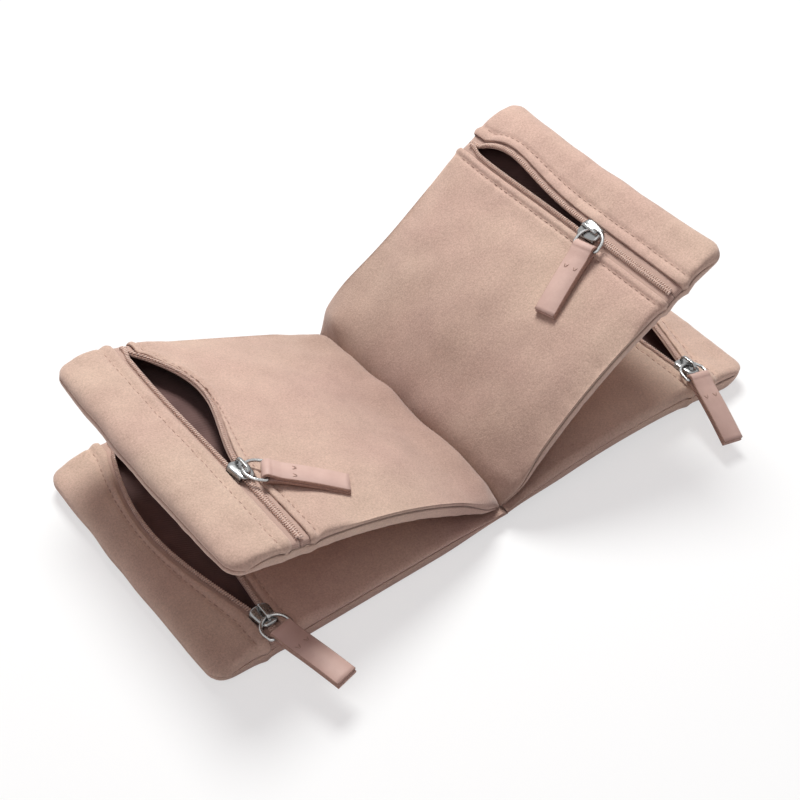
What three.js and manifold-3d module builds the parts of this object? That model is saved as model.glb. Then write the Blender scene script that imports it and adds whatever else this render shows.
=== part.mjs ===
import * as THREE from "three";
import Module from "manifold-3d";

// Whole pouch
const POUCH_LENGTH = 123.5;
const POUCH_WIDTH = 116;
const POUCH_THICKNESS = 11.4;
const END_CORNER = 5.2;
const SPINE_TAPER = 30;
const SIDE_ROLL = 4.5;
const END_ROLL = 9;

// Cloth
const FABRIC = 0.9;
const LINING = 0.4;
const CLEARANCE = 0.3;

// Spine
const SPINE_FOLD = 10;
const SEAM_RADIUS = 2.4;
const WEB_THICKNESS = 1.1;

// Zip
const END_BAND = 25.5;
const ZIP_LIP = 4.6;
const TAPE_WIDTH = 10;
const TAPE_THICKNESS = 0.6;
const COIL_WIDTH = 1.95;
const COIL_HEIGHT = 1.6;
const TOOTH_PITCH = 3.4;
const TOOTH_DEPTH = 0.6;
const TOOTH_DROP = 0.35;
const COIL_SLOPE = 0.4;
const END_STOP = 3;
const CLOSING = 6;
const MOUTH_POWER = 1.3;
const LIFT_REACH = 28;
const TAPE_LEAST = 0.6;
const LINING_HOLD = 3;

// Slider
const SLIDER_LENGTH = 9.5;
const SLIDER_SHOULDER = 8;
const SLIDER_TAIL = 6.2;
const SLIDER_PLATE = 0.9;
const TAIL_CUT = 1;
const SHOULDER_CUT = 1.4;
const SHOULDER_RUN = 3;
const RAIL = 0.7;
const DIVIDER_WIDTH = 1.2;
const DIVIDER_LENGTH = 2.6;
const DIVIDER_SET = 0.4;
const BRIDGE_LENGTH = 8;
const BRIDGE_WIDTH = 1.3;
const BRIDGE_BAR = 0.9;
const BRIDGE_CUT = 1.2;
const BRIDGE_WINDOW = 2;
const WINDOW_CUT = 0.45;
const SUNK = 0.2;

// Pull
const RING_RADIUS = 5.2;
const RING_REACH = 3;
const RING_CORNER = 1.2;
const RING_WIRE = 1.2;
const TAB_LENGTH = 28.5;
const TAB_WIDTH = 8.8;
const LEATHER = 1.25;
const TAB_NECK = 2.6;

// The four pouches: angles of the leaf at the spine and at its outer end, how far its outer seam lies off
// the middle, where the slider stands between the front end of the zip and the back end, how far each lip
// of the mouth bows away and lifts, and how the pull lies: turns and tilts in degrees, and how far forward
// the ring sits under the bridge
const POUCHES = [
  {
    name: "lower_left",
    side: -1,
    angles: [0, 0],
    seam: -3.6,
    slider: 0,
    bow: { inner: 3.5, outer: 10 },
    lift: { inner: 0.3, outer: 2.5 },
    pull: { forward: 2.2, ring: 0, tab: 13, ringTilt: 0, tabTilt: 2 },
  },
  {
    name: "lower_right",
    side: 1,
    angles: [12.15, -14.15],
    seam: 3,
    slider: 0,
    bow: { inner: 2, outer: 9 },
    lift: { inner: 0.3, outer: 3 },
    pull: { forward: 0, ring: 20, tab: 9, ringTilt: 5, tabTilt: 18 },
  },
  {
    name: "upper_left",
    side: -1,
    angles: [34.1, 11.8],
    seam: 0,
    slider: 0.27,
    bow: { inner: 12, outer: 0.8 },
    lift: { inner: 0.3, outer: 0 },
    pull: { forward: 0, ring: 46, tab: 58, ringTilt: 0, tabTilt: 3.6 },
  },
  {
    name: "upper_right",
    side: 1,
    angles: [49.6, 24.5],
    seam: 0,
    slider: 0.34,
    bow: { inner: 2, outer: 6 },
    lift: { inner: 0, outer: 2.5 },
    pull: { forward: 0, ring: 46, tab: 78, ringTilt: 0, tabTilt: 5 },
  },
];

// Sizes that follow from those above
const HALF = POUCH_THICKNESS / 2;
const EDGE = FABRIC + CLEARANCE / 2;
const SPINE_Z = HALF;
const ZIP_AT = POUCH_LENGTH - END_BAND;
const SIDE = POUCH_WIDTH / 2;
const ZIP_END = SIDE - SIDE_ROLL;
const ZIP_RUN = ZIP_END - SLIDER_LENGTH / 2;
const TAPE_GAP = 0.25;
const COIL_GAP = 0.25;
const TAPE_DEPTH = FABRIC + TAPE_GAP + TAPE_THICKNESS / 2;
const COIL_BASE = TAPE_THICKNESS / 2 + COIL_GAP;
const CHANNEL_FLOOR = -TAPE_THICKNESS / 2 - CLEARANCE;
const CHANNEL_ROOF = COIL_BASE + COIL_HEIGHT + CLEARANCE;
const SLIDER_TOP = CHANNEL_ROOF + SLIDER_PLATE;
const COIL_SPREAD = DIVIDER_WIDTH / 2 + CLEARANCE;
const LINING_DEPTH = TAPE_DEPTH + TAPE_THICKNESS / 2 + TAPE_GAP;

const radians = THREE.MathUtils.degToRad;
const wasm = await Module();
wasm.setup();

// Colours
function material(color, roughness, metalness) {
  return new THREE.MeshStandardMaterial({ color, roughness, metalness, side: THREE.DoubleSide });
}

const SUEDE = material(0xc39f90, 0.92, 0);
const DARK_LINING = material(0x5a3f3c, 0.85, 0);
const TAPE_CLOTH = material(0xb08d82, 0.85, 0);
const COIL_NYLON = material(0xc2a093, 0.5, 0);
const CHROME = material(0xd9d9d9, 0.15, 1);
const PULL_LEATHER = material(0xc7a08f, 0.75, 0);

// A run of evenly spaced numbers, both ends included
function spread(from, to, count) {
  return Array.from({ length: count + 1 }, (_, i) => from + ((to - from) * i) / count);
}

// Rises smoothly from 0 to 1 and then stays there
function rise(t) {
  return t >= 1 ? 1 : Math.sin((Math.max(t, 0) * Math.PI) / 2);
}

function ease(t) {
  const u = Math.min(Math.max(t, 0), 1);
  return u * u * (3 - 2 * u);
}

// Closed solid from triangles, turned so that its faces look out
function solidFrom(points, triangles) {
  let volume = 0;
  const [a, b, c] = [new THREE.Vector3(), new THREE.Vector3(), new THREE.Vector3()];
  for (const [i, j, k] of triangles) {
    a.copy(points[i]);
    b.copy(points[j]);
    c.copy(points[k]);
    volume += a.dot(b.cross(c));
  }
  const turned = volume < 0 ? triangles.map(([i, j, k]) => [i, k, j]) : triangles;
  const geometry = new THREE.BufferGeometry();
  geometry.setAttribute("position", new THREE.Float32BufferAttribute(points.flatMap((p) => p.toArray()), 3));
  geometry.setIndex(turned.flat());
  geometry.computeVertexNormals();
  return geometry;
}

// Thick sheet from two grids of points that face each other
function sheetFrom(upper, lower) {
  const rows = upper.length;
  const columns = upper[0].length;
  const at = (layer, r, c) => layer * rows * columns + r * columns + c;
  const triangles = [];
  const quad = (a, b, c, d) => triangles.push([a, b, c], [a, c, d]);
  for (let r = 0; r + 1 < rows; r += 1) {
    for (let c = 0; c + 1 < columns; c += 1) {
      quad(at(0, r, c), at(0, r, c + 1), at(0, r + 1, c + 1), at(0, r + 1, c));
      quad(at(1, r, c), at(1, r + 1, c), at(1, r + 1, c + 1), at(1, r, c + 1));
    }
    const last = columns - 1;
    quad(at(0, r, 0), at(0, r + 1, 0), at(1, r + 1, 0), at(1, r, 0));
    quad(at(0, r, last), at(1, r, last), at(1, r + 1, last), at(0, r + 1, last));
  }
  for (let c = 0; c + 1 < columns; c += 1) {
    const last = rows - 1;
    quad(at(0, 0, c), at(1, 0, c), at(1, 0, c + 1), at(0, 0, c + 1));
    quad(at(0, last, c), at(0, last, c + 1), at(1, last, c + 1), at(1, last, c));
  }
  return solidFrom([...upper.flat(), ...lower.flat()], triangles);
}

// Rod from a list of equal rings of points, with flat ends or joined into a loop
function rodFrom(rings, looped) {
  const sides = rings[0].length;
  const triangles = [];
  const spans = looped ? rings.length : rings.length - 1;
  for (let r = 0; r < spans; r += 1) {
    const next = (r + 1) % rings.length;
    for (let k = 0; k < sides; k += 1) {
      const on = (k + 1) % sides;
      triangles.push([r * sides + k, r * sides + on, next * sides + on]);
      triangles.push([r * sides + k, next * sides + on, next * sides + k]);
    }
  }
  for (let k = 1; !looped && k + 1 < sides; k += 1) {
    const end = (rings.length - 1) * sides;
    triangles.push([0, k + 1, k], [end, end + k, end + k + 1]);
  }
  return solidFrom(rings.flat(), triangles);
}

// Boolean cut and join
function toManifold(geometry) {
  const mesh = new wasm.Mesh({
    numProp: 3,
    vertProperties: new Float32Array(geometry.attributes.position.array),
    triVerts: geometry.index
      ? new Uint32Array(geometry.index.array)
      : new Uint32Array(geometry.attributes.position.count).map((_, i) => i),
  });
  mesh.merge();
  return new wasm.Manifold(mesh);
}

function fromManifold(solid) {
  const mesh = solid.getMesh();
  const geometry = new THREE.BufferGeometry();
  geometry.setAttribute("position", new THREE.BufferAttribute(new Float32Array(mesh.vertProperties), 3));
  geometry.setIndex(new THREE.BufferAttribute(new Uint32Array(mesh.triVerts), 1));
  geometry.computeVertexNormals();
  return geometry;
}

function prism(outline, from, to) {
  const geometry = new THREE.ExtrudeGeometry(new THREE.Shape(outline), {
    depth: to - from,
    bevelEnabled: false,
  });
  return geometry.translate(0, 0, from);
}

// One pouch as a bent leaf: s runs out from the spine, y along it, h off the leaf's middle surface
function leafShape(pouch) {
  const [root, end] = pouch.angles.map(radians);
  const bend = (end - root) / POUCH_LENGTH;
  const angleAt = (s) => root + bend * s;
  const place = (s, y, h) => {
    const angle = angleAt(s);
    const straight = Math.abs(bend) < 1e-9;
    const x = straight ? s * Math.cos(root) : (Math.sin(angle) - Math.sin(root)) / bend;
    const z = straight ? s * Math.sin(root) : (Math.cos(root) - Math.cos(angle)) / bend;
    return new THREE.Vector3(x - h * Math.sin(angle), y, SPINE_Z + z + h * Math.cos(angle));
  };

  // Outer edge with its rounded corners
  const outerEdge = (y) => {
    const past = Math.max(Math.abs(y) - (SIDE - END_CORNER), 0);
    return POUCH_LENGTH - END_CORNER + Math.sqrt(Math.max(END_CORNER ** 2 - past ** 2, 0));
  };

  // Half thickness of the filled pouch, pinched at every seam
  const fill = (s, y) => {
    const fromSpine = rise((s - SPINE_FOLD) / SPINE_TAPER);
    const fromEnd = rise((outerEdge(y) - s) / END_ROLL);
    const fromSide = rise((SIDE - Math.abs(y)) / SIDE_ROLL);
    return fromSpine * fromEnd * fromSide;
  };
  const swell = (s, y) => EDGE + (HALF - EDGE) * fill(s, y);

  // Height of the seam over the middle of the leaf, all at its outer half
  const seamAt = (s, y) => pouch.seam * (1 - fill(s, y)) * ease((2 * s) / POUCH_LENGTH - 1);

  // The mouth is open from the slider to the back end of the zip
  const sliderY = ZIP_RUN * (2 * pouch.slider - 1);
  const neck = sliderY + SLIDER_LENGTH / 2;
  const gape = (y) => {
    const t = (y - neck) / (ZIP_END - END_STOP - neck);
    return t > 0 && t < 1 ? Math.sin(Math.PI * t) ** MOUTH_POWER : 0;
  };
  const parted = (y) => {
    const opening = ease((y - sliderY) / (SLIDER_LENGTH / 2));
    return COIL_SPREAD * opening * ease((ZIP_END - y) / CLOSING);
  };
  const lipOffset = (y, lip) => parted(y) + pouch.bow[lip] * gape(y);
  const fabricEdge = (y, lip) => {
    const away = ZIP_LIP + pouch.bow[lip] * gape(y);
    return lip === "inner" ? ZIP_AT - away : ZIP_AT + away;
  };

  // Where the tape ends under the cloth
  const tapeEdge = (y, lip) => {
    const under = TAPE_WIDTH - ZIP_LIP;
    const edge = fabricEdge(y, lip);
    const room = Math.max(outerEdge(y) - FABRIC - END_STOP - edge, TAPE_LEAST);
    return lip === "inner" ? edge - under : edge + Math.min(under, room);
  };

  // Top face of the front cloth, lifted beside the open mouth
  const top = (s, y, lip) => {
    const edge = fabricEdge(y, lip);
    const on = lip === "inner" ? Math.min(s, edge) : Math.max(s, edge);
    const near = lip === "inner" ? LIFT_REACH : Math.max(outerEdge(y) - edge, 1);
    const raised = pouch.lift[lip] * gape(y) * ease(1 - Math.abs(edge - on) / near);
    return seamAt(on, y) + swell(on, y) + raised;
  };
  const bottom = (s, y) => seamAt(s, y) - swell(s, y);
  const stationsY = zipStations(sliderY);
  return {
    angleAt,
    place,
    outerEdge,
    swell,
    lipOffset,
    fabricEdge,
    tapeEdge,
    top,
    bottom,
    sliderY,
    stationsY,
  };
}

// Stations along the spine, close together where the side rolls over and inside the slider
const SIDE_STEPS = spread(SIDE, ZIP_END, 3);
const CORNER_Y = SIDE - END_CORNER;

function zipStations(sliderY) {
  const neck = sliderY + SLIDER_LENGTH / 2;
  return [
    ...SIDE_STEPS.map((y) => -y),
    -CORNER_Y,
    ...spread(sliderY, neck, 3),
    ...spread(neck, CORNER_Y, 7).slice(1),
    ...[...SIDE_STEPS].reverse(),
  ];
}

const PLAIN_Y = [
  ...SIDE_STEPS.map((y) => -y),
  -CORNER_Y,
  -SIDE / 2,
  0,
  SIDE / 2,
  CORNER_Y,
  ...[...SIDE_STEPS].reverse(),
];

function gridOf(leaf, stationsY, stationsS, height) {
  return stationsY.map((y) => stationsS(y).map((s) => leaf.place(s, y, height(s, y))));
}

function sheetOn(leaf, stationsY, stationsS, top, bottom) {
  return sheetFrom(gridOf(leaf, stationsY, stationsS, top), gridOf(leaf, stationsY, stationsS, bottom));
}

// Cloth of one pouch
function frontPanel(leaf) {
  const full = SPINE_FOLD + SPINE_TAPER;
  const stations = (y) => {
    const tape = leaf.tapeEdge(y, "inner");
    const edge = leaf.fabricEdge(y, "inner");
    return [...spread(SPINE_FOLD, full, 3), ...spread(full, tape, 2).slice(1), edge];
  };
  const top = (s, y) => leaf.top(s, y, "inner");
  return sheetOn(leaf, leaf.stationsY, stations, top, (s, y) => top(s, y) - FABRIC);
}

function endBand(leaf) {
  const stations = (y) => {
    const edge = leaf.fabricEdge(y, "outer");
    const tape = leaf.tapeEdge(y, "outer");
    return [edge, ...spread(tape, leaf.outerEdge(y), 3)];
  };
  const top = (s, y) => leaf.top(s, y, "outer");
  return sheetOn(leaf, leaf.stationsY, stations, top, (s, y) => top(s, y) - FABRIC);
}

function backPanel(leaf) {
  const full = SPINE_FOLD + SPINE_TAPER;
  const stations = (y) => {
    const last = leaf.outerEdge(y);
    const flatEnd = last - END_ROLL;
    return [
      ...spread(SPINE_FOLD, full, 3),
      ...spread(full, flatEnd, 3).slice(1),
      ...spread(flatEnd, last, 2).slice(1),
    ];
  };
  return sheetOn(leaf, PLAIN_Y, stations, (s, y) => leaf.bottom(s, y) + FABRIC, leaf.bottom);
}

// Lining: a bag folded from one strip, open at the mouth
function lining(leaf) {
  const spineEnd = SPINE_FOLD + SPINE_TAPER * 0.45;
  const flat = SPINE_FOLD + SPINE_TAPER;
  const outEnd = POUCH_LENGTH - END_ROLL - CLEARANCE;
  const reach = ZIP_END - 1;
  const lip = ZIP_LIP + LINING_HOLD;
  const wall = (y, inset) => {
    const depth = (s) => leaf.swell(s, y) - LINING_DEPTH - inset;
    const from = spineEnd + inset;
    const to = outEnd - inset;
    const inner = ZIP_AT - lip - (ZIP_AT - ZIP_LIP - leaf.fabricEdge(y, "inner"));
    const outer = Math.min(leaf.fabricEdge(y, "outer") + LINING_HOLD, to - 1);
    const path = [
      ...spread(inner, flat, 3).map((s) => [s, 1]),
      [from, 1],
      [from, -1],
      ...spread(flat, to, 4).map((s) => [s, -1]),
      [to, 1],
      [outer, 1],
    ];
    return path.map(([s, sign]) => leaf.place(s, y, sign * depth(s)));
  };
  const stations = spread(-reach, reach, 8);
  return sheetFrom(stations.map((y) => wall(y, 0)), stations.map((y) => wall(y, LINING)));
}

// Bare double cloth from the spine seam to the pouch
function spineFold(leaf) {
  const stations = spread(SEAM_RADIUS + CLEARANCE, SPINE_FOLD - CLEARANCE, 3);
  const half = (s) => {
    const t = (s - stations[0]) / (stations[3] - stations[0]);
    return WEB_THICKNESS / 2 + (EDGE - WEB_THICKNESS / 2) * t * t;
  };
  return sheetOn(leaf, spread(-SIDE, SIDE, 6), () => stations, half, (s) => -half(s));
}

// A value read off the stations along the spine, straight in between them
function between(stations, y, value) {
  const next = Math.max(stations.findIndex((station) => station > y), 1);
  const [a, b] = [stations[next - 1], stations[next]];
  return THREE.MathUtils.mapLinear(y, a, b, value(a), value(b));
}

// Zip tape and its row of teeth
function zipTape(leaf, lip) {
  const out = lip === "inner" ? -1 : 1;
  const reach = leaf.stationsY.filter((y) => Math.abs(y) < SIDE - 1);
  const stations = (y) => {
    const free = ZIP_AT + out * (leaf.lipOffset(y, lip) + CLEARANCE / 2);
    const run = [free, leaf.fabricEdge(y, lip), leaf.tapeEdge(y, lip)];
    return lip === "inner" ? run.reverse() : run;
  };
  const middle = (s, y) => leaf.top(s, y, lip) - TAPE_DEPTH;
  const half = TAPE_THICKNESS / 2;
  return sheetOn(leaf, reach, stations, (s, y) => middle(s, y) + half, (s, y) => middle(s, y) - half);
}

function zipCoil(leaf, lip) {
  const out = lip === "inner" ? -1 : 1;
  const count = 2 * Math.round((2 * ZIP_END) / TOOTH_PITCH);
  const ending = SIDE_STEPS[2];
  const shift = lip === "inner" ? 0 : 1;
  const rings = [-ending, ...spread(-ZIP_END, ZIP_END, count), ending].map((y, i) => {
    const tooth = (i + shift) % 2;
    const cloth = between(leaf.stationsY, y, (at) => leaf.top(leaf.fabricEdge(at, lip), at, lip));
    const base = cloth - TAPE_DEPTH + COIL_BASE;
    const crest = base + COIL_HEIGHT - (tooth ? 0 : TOOTH_DROP);
    const offset = between(leaf.stationsY, y, (at) => leaf.lipOffset(at, lip)) + CLEARANCE / 2;
    const near = offset + (tooth ? 0 : TOOTH_DEPTH);
    const far = offset + COIL_WIDTH;
    return [
      leaf.place(ZIP_AT + out * near, y, base),
      leaf.place(ZIP_AT + out * far, y, base),
      leaf.place(ZIP_AT + out * far, y, crest - COIL_SLOPE),
      leaf.place(ZIP_AT + out * near, y, crest),
    ];
  });
  return rodFrom(rings, false);
}

// Slider: two plates, side rails, the divider between the coils and the bridge for the ring
function plateOutline(inset, stretch) {
  const mouth = SLIDER_LENGTH / 2 + stretch;
  const shoulder = SLIDER_SHOULDER / 2 - inset;
  const tail = SLIDER_TAIL / 2 - inset;
  const points = [
    [-tail, -mouth + TAIL_CUT],
    [-tail + TAIL_CUT, -mouth],
    [tail - TAIL_CUT, -mouth],
    [tail, -mouth + TAIL_CUT],
    [shoulder, mouth - SHOULDER_RUN],
    [shoulder, mouth - SHOULDER_CUT],
    [shoulder - SHOULDER_CUT, mouth],
    [-shoulder + SHOULDER_CUT, mouth],
    [-shoulder, mouth - SHOULDER_CUT],
    [-shoulder, mouth - SHOULDER_RUN],
  ];
  return points.map(([x, y]) => new THREE.Vector2(x, y));
}

function slider() {
  const outline = plateOutline(0, 0);
  const railFoot = TAPE_THICKNESS / 2 + CLEARANCE;
  const rails = toManifold(prism(outline, railFoot, CHANNEL_ROOF + SUNK));
  const channel = toManifold(prism(plateOutline(RAIL, SLIDER_LENGTH), railFoot - SUNK, CHANNEL_ROOF));
  const half = DIVIDER_WIDTH / 2;
  const nose = SLIDER_LENGTH / 2 - DIVIDER_SET;
  const wedge = [
    [0, nose - DIVIDER_LENGTH],
    [half, nose - DIVIDER_LENGTH / 2],
    [half, nose],
    [-half, nose],
    [-half, nose - DIVIDER_LENGTH / 2],
  ].map(([x, y]) => new THREE.Vector2(x, y));
  const span = BRIDGE_LENGTH / 2;
  const crown = SLIDER_TOP + BRIDGE_WINDOW + BRIDGE_BAR;
  const arch = new THREE.Shape(
    [
      [-span, SLIDER_TOP - SUNK],
      [span, SLIDER_TOP - SUNK],
      [span, crown - BRIDGE_CUT],
      [span - BRIDGE_CUT, crown],
      [-span + BRIDGE_CUT, crown],
      [-span, crown - BRIDGE_CUT],
    ].map(([y, z]) => new THREE.Vector2(y, z)),
  );
  const window = span - BRIDGE_BAR;
  arch.holes.push(
    new THREE.Path(
      [
        [-window, SLIDER_TOP],
        [-window, crown - BRIDGE_BAR - WINDOW_CUT],
        [-window + WINDOW_CUT, crown - BRIDGE_BAR],
        [window - WINDOW_CUT, crown - BRIDGE_BAR],
        [window, crown - BRIDGE_BAR - WINDOW_CUT],
        [window, SLIDER_TOP],
      ].map(([y, z]) => new THREE.Vector2(y, z)),
    ),
  );
  const bridge = new THREE.ExtrudeGeometry(arch, { depth: BRIDGE_WIDTH, bevelEnabled: false });
  bridge.translate(0, 0, -BRIDGE_WIDTH / 2);
  bridge.applyMatrix4(new THREE.Matrix4().set(0, 0, 1, 0, 1, 0, 0, 0, 0, 1, 0, 0, 0, 0, 0, 1));
  const whole = wasm.Manifold.union([
    toManifold(prism(outline, CHANNEL_ROOF, SLIDER_TOP)),
    toManifold(prism(outline, CHANNEL_FLOOR - SLIDER_PLATE, CHANNEL_FLOOR)),
    rails.subtract(channel),
    toManifold(prism(wedge, CHANNEL_FLOOR - SUNK, CHANNEL_ROOF + SUNK)),
    toManifold(bridge),
  ]);
  return fromManifold(whole);
}

// D-shaped ring: half a circle, two short legs and a straight bar that the tab hangs on
function pullRing(turn) {
  const away = new THREE.Vector3(-Math.sin(turn), -Math.cos(turn), 0);
  const across = new THREE.Vector3(-away.y, away.x, 0);
  const centre = new THREE.Vector3(0, -RING_RADIUS, 0);
  const path = spread(0, Math.PI, 14).map((a) => [RING_RADIUS * Math.cos(a), -RING_RADIUS * Math.sin(a)]);
  const cut = RING_CORNER * (1 - Math.SQRT1_2);
  for (const side of [-1, 1]) {
    const turn = [
      [side * RING_RADIUS, RING_REACH - RING_CORNER],
      [side * (RING_RADIUS - cut), RING_REACH - cut],
      [side * (RING_RADIUS - RING_CORNER), RING_REACH],
    ];
    path.push(...(side < 0 ? turn : turn.reverse()));
  }
  const loop = path.map(([a, b]) => centre.clone().addScaledVector(across, a).addScaledVector(away, b));
  const sides = 6;
  const rings = loop.map((point, i) => {
    const before = loop[(i + loop.length - 1) % loop.length];
    const after = loop[(i + 1) % loop.length];
    const into = point.clone().sub(before).normalize();
    const onward = after.clone().sub(point).normalize();
    const along = into.clone().add(onward).normalize();
    const miter = 1 / Math.max(along.dot(onward), 0.5);
    const outward = new THREE.Vector3(along.y, -along.x, 0);
    return spread(0, 2 * Math.PI, sides).slice(1).map((a) => {
      const flat = (RING_WIRE / 2) * Math.cos(a) * miter;
      return point.clone().addScaledVector(outward, flat).setZ((RING_WIRE / 2) * Math.sin(a));
    });
  });
  return rodFrom(rings, true);
}

// Leather strip folded round the bar, both layers stitched together beyond the fold
function pullTab() {
  const hole = RING_WIRE / 2 + CLEARANCE;
  const round = hole + LEATHER;
  const shape = new THREE.Shape();
  shape.moveTo(TAB_LENGTH, -LEATHER);
  shape.lineTo(TAB_LENGTH, LEATHER);
  shape.lineTo(TAB_NECK * round, LEATHER);
  const wrap = spread(Math.PI / 3, (5 * Math.PI) / 3, 8);
  wrap.forEach((a) => shape.lineTo(round * Math.cos(a), round * Math.sin(a)));
  shape.lineTo(TAB_NECK * round, -LEATHER);
  const eye = spread(0, 2 * Math.PI, 10).slice(1);
  shape.holes.push(
    new THREE.Path(eye.map((a) => new THREE.Vector2(hole * Math.cos(a), hole * Math.sin(a)))),
  );
  const strip = new THREE.ExtrudeGeometry(shape, { depth: TAB_WIDTH, bevelEnabled: false });
  return strip.translate(0, 0, -TAB_WIDTH / 2).rotateX(Math.PI / 2);
}

// Spine seam: the sewn stack of cloth, flat on the table and round at the top
function spineSeam() {
  const round = spread(-Math.PI / 8, Math.PI + Math.PI / 8, 10);
  const outline = round.map(
    (a) => new THREE.Vector2(SEAM_RADIUS * Math.cos(a), SPINE_Z + SEAM_RADIUS * Math.sin(a)),
  );
  outline.push(new THREE.Vector2(-SEAM_RADIUS, 0), new THREE.Vector2(SEAM_RADIUS, 0));
  const length = POUCH_WIDTH - 2;
  const bar = new THREE.ExtrudeGeometry(new THREE.Shape(outline), { depth: length, bevelEnabled: false });
  return bar.translate(0, 0, -length / 2).rotateX(Math.PI / 2);
}

function named(name, geometry, finish) {
  const mesh = new THREE.Mesh(geometry, finish);
  mesh.name = name;
  return mesh;
}

// One pouch with its zip and pull, modelled outwards to the right and mirrored for the left
function pouchGroup(pouch) {
  const leaf = leafShape(pouch);
  const group = new THREE.Group();
  const cloth = (piece, geometry, finish) => group.add(named(`${pouch.name}_${piece}`, geometry, finish));
  cloth("front_panel", frontPanel(leaf), SUEDE);
  cloth("end_band", endBand(leaf), SUEDE);
  cloth("back_panel", backPanel(leaf), SUEDE);
  cloth("lining", lining(leaf), DARK_LINING);
  cloth("spine_fold", spineFold(leaf), SUEDE);
  for (const lip of ["inner", "outer"]) {
    cloth(`zip_tape_${lip}`, zipTape(leaf, lip), TAPE_CLOTH);
    cloth(`zip_coil_${lip}`, zipCoil(leaf, lip), COIL_NYLON);
  }

  const zip = new THREE.Group();
  zip.name = `${pouch.name}_zip_frame`;
  zip.position.copy(leaf.place(ZIP_AT, leaf.sliderY, HALF - TAPE_DEPTH));
  zip.rotation.y = -leaf.angleAt(ZIP_AT);
  zip.add(named(`${pouch.name}_slider`, slider(), CHROME));
  group.add(zip);

  const ringTurn = radians(pouch.pull.ring);
  const tabTurn = radians(pouch.pull.tab) - ringTurn;
  const ring = new THREE.Group();
  ring.name = `${pouch.name}_ring_frame`;
  ring.position.set(0, -pouch.pull.forward, SLIDER_TOP + BRIDGE_WINDOW / 2);
  ring.rotation.set(radians(pouch.pull.ringTilt), 0, -ringTurn, "ZXY");
  ring.add(named(`${pouch.name}_pull_ring`, pullRing(tabTurn), CHROME));
  zip.add(ring);

  const tab = new THREE.Group();
  tab.name = `${pouch.name}_tab_frame`;
  const away = new THREE.Vector3(-Math.sin(tabTurn), -Math.cos(tabTurn), 0);
  tab.position.set(0, -RING_RADIUS, 0).addScaledVector(away, RING_REACH);
  tab.rotation.set(0, radians(pouch.pull.tabTilt), Math.atan2(away.y, away.x), "ZYX");
  tab.add(named(`${pouch.name}_pull_tab`, pullTab(), PULL_LEATHER));
  ring.add(tab);

  group.scale.x = pouch.side;
  return group;
}

const roll = new THREE.Group();
roll.add(named("spine_seam", spineSeam(), SUEDE));
POUCHES.forEach((pouch) => roll.add(pouchGroup(pouch)));

export default roll;
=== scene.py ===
import math

import bmesh
import bpy
from mathutils import Matrix, Vector, noise


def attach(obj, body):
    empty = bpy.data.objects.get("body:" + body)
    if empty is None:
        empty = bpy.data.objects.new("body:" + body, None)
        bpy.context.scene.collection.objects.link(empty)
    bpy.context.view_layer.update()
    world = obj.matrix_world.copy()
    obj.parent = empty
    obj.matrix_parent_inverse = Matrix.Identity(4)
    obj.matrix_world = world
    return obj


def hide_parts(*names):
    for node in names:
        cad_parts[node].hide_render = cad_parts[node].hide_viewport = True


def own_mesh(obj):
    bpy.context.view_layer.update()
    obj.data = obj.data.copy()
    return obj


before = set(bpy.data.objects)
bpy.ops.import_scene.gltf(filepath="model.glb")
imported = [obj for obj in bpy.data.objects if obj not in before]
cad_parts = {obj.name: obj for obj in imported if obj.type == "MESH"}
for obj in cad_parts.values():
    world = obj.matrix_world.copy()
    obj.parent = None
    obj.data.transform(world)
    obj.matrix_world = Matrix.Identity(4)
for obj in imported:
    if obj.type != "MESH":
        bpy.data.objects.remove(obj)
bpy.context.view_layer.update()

# Sizes of the pouches, in millimetres
MM = 0.001
POUCH_LENGTH = 123.5
SIDE = 58.0
HALF = 5.7
SPINE_Z = 5.7
STRAIGHT = 1e-9
END_CORNER = 6.2
SPINE_START = 0.9
SPINE_TAPER = 30.0
PINCH_RUN = 14.0
FLARE_AT = 14.0
FLARE_RUN = 26.0
DROOP_RUN = 24.0
SIDE_ROLL = 2.6
SIDE_SLOPE = 28.0
SIDE_SLACK = 0.45
TAUT_BY_ZIP = 10.0
SLACK_RUN = 18.0
BACK_SLACK = 0.4
BACK_CROWN = 0.5
CROWN_SHORT = 6.0
END_ROLL = 6.5
END_ROLL_SHARE = 0.6
EDGE = 0.75
SEAM_TUCK = 0.05
SEAM_RISE_FROM = 4.0
SEAM_RISE_RUN = 24.0
SEAM_FALL = 9.0

# Spine binding; its foot runs outwards from the middle and up from the table
BIND_RADIUS = 1.0
BIND_TOP = 0.2
BIND_END = 5.3
BIND_IN = 0.4
BIND_TAPER = 9.0
BIND_LOW = 0.2
BIND_FOOT = [(1.3, 2.5), (1.7, 0.35), (1.35, 0.02)]

# Swelling along the crease, and the knuckle and the tuck at its back end
SWELL_AT = 10.0
SWELL_RUN = 8.0
SWELL_FADE = 10.0
SWELL_WAVE = 0.8
SWELL_WAVE_LENGTH = 19.0
KNUCKLE_AT = 13.0
KNUCKLE_IN = 9.0
KNUCKLE_RUN = 8.0
TUCK_SHARE = 0.6
TUCK_AT = 4.0
TUCK_IN = 8.0
TUCK_RUN = (4.0, 5.0)

# Unevenness of the cloth: heights and wave lengths, and where it dies out as a start and a run
END_WAVE = 0.9
END_WAVE_LENGTH = 17.0
RIPPLE = 1.7
RIPPLE_LENGTH = 34.0
FINE_RIPPLE = 0.8
FINE_RATIO = 2.4
PULL_LENGTH = (45.0, 11.0)
PULL_FADE = 26.0
RIPPLE_CLEAR = 10.0
PUCKER = 1.1
PUCKER_LENGTH = 4.6
PUCKER_FADE = 6.5
PUCKER_CLEAR = 2.0
CALM_LIP = (3.0, 12.0)
CALM_SPINE = (2.0, 14.0)

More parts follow.
